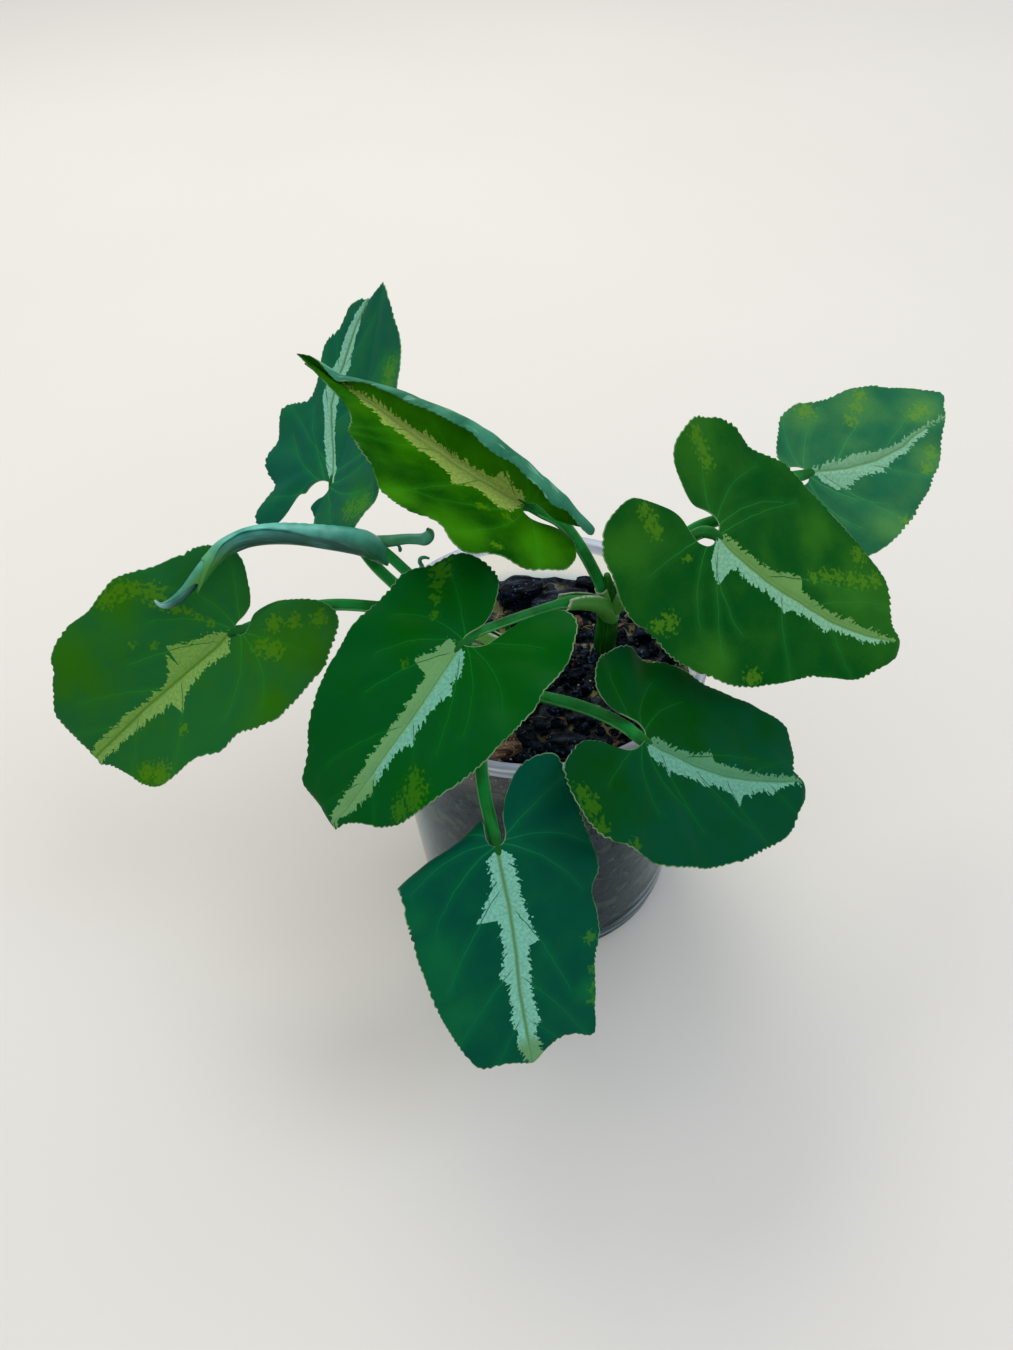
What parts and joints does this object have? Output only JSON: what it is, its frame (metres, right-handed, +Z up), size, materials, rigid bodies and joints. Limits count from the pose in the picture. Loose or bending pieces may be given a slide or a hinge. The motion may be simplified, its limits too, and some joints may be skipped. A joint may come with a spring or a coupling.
{
  "type": "potted syngonium wendlandii",
  "caption": "Young leafy aroid with silver-striped heart-shaped leaves on arching stalks, rooted in bark and charcoal mix in a clear plastic nursery cup.",
  "frame": {"origin": "middle of the cup's underside, on the surface that it stands on", "axes": "+Z up along the cup's axis, +X to the right and -Y towards the viewer, the side where the lowest leaf hangs over the rim"},
  "size_m": [0.2574, 0.1697, 0.1776],
  "materials": {
    "clear_cup": "clear, slightly hazy moulded plastic",
    "potting_mix": "moist dark crumbs of bark and charcoal",
    "charcoal": "blue-black charcoal with a faint glint",
    "bark": "dry fibrous bark",
    "stem": "smooth green stem",
    "leaf": "satin green leaf with a silver stripe along the midrib",
    "furled_leaf": "satin blue-green underside of a rolled leaf"
  },
  "bodies": {
    "root": {"cup": "clear_cup", "potting_mix": "potting_mix", "charcoal_back": "charcoal", "charcoal_long": "charcoal", "charcoal_edge": "charcoal", "charcoal_left": "charcoal", "charcoal_right": "charcoal", "charcoal_front": "charcoal", "bark_centre": "bark", "bark_right": "bark", "bark_front": "bark", "bark_left": "bark", "shoot_back": "stem", "shoot_front": "stem", "leaf_back_left": "leaf", "leaf_upper": "leaf", "leaf_far_left": "leaf", "leaf_front_left": "leaf", "leaf_front": "leaf", "leaf_front_right": "leaf", "leaf_right": "leaf", "leaf_far_right": "leaf", "leaf_furled": "furled_leaf"}
  },
  "joints": []
}
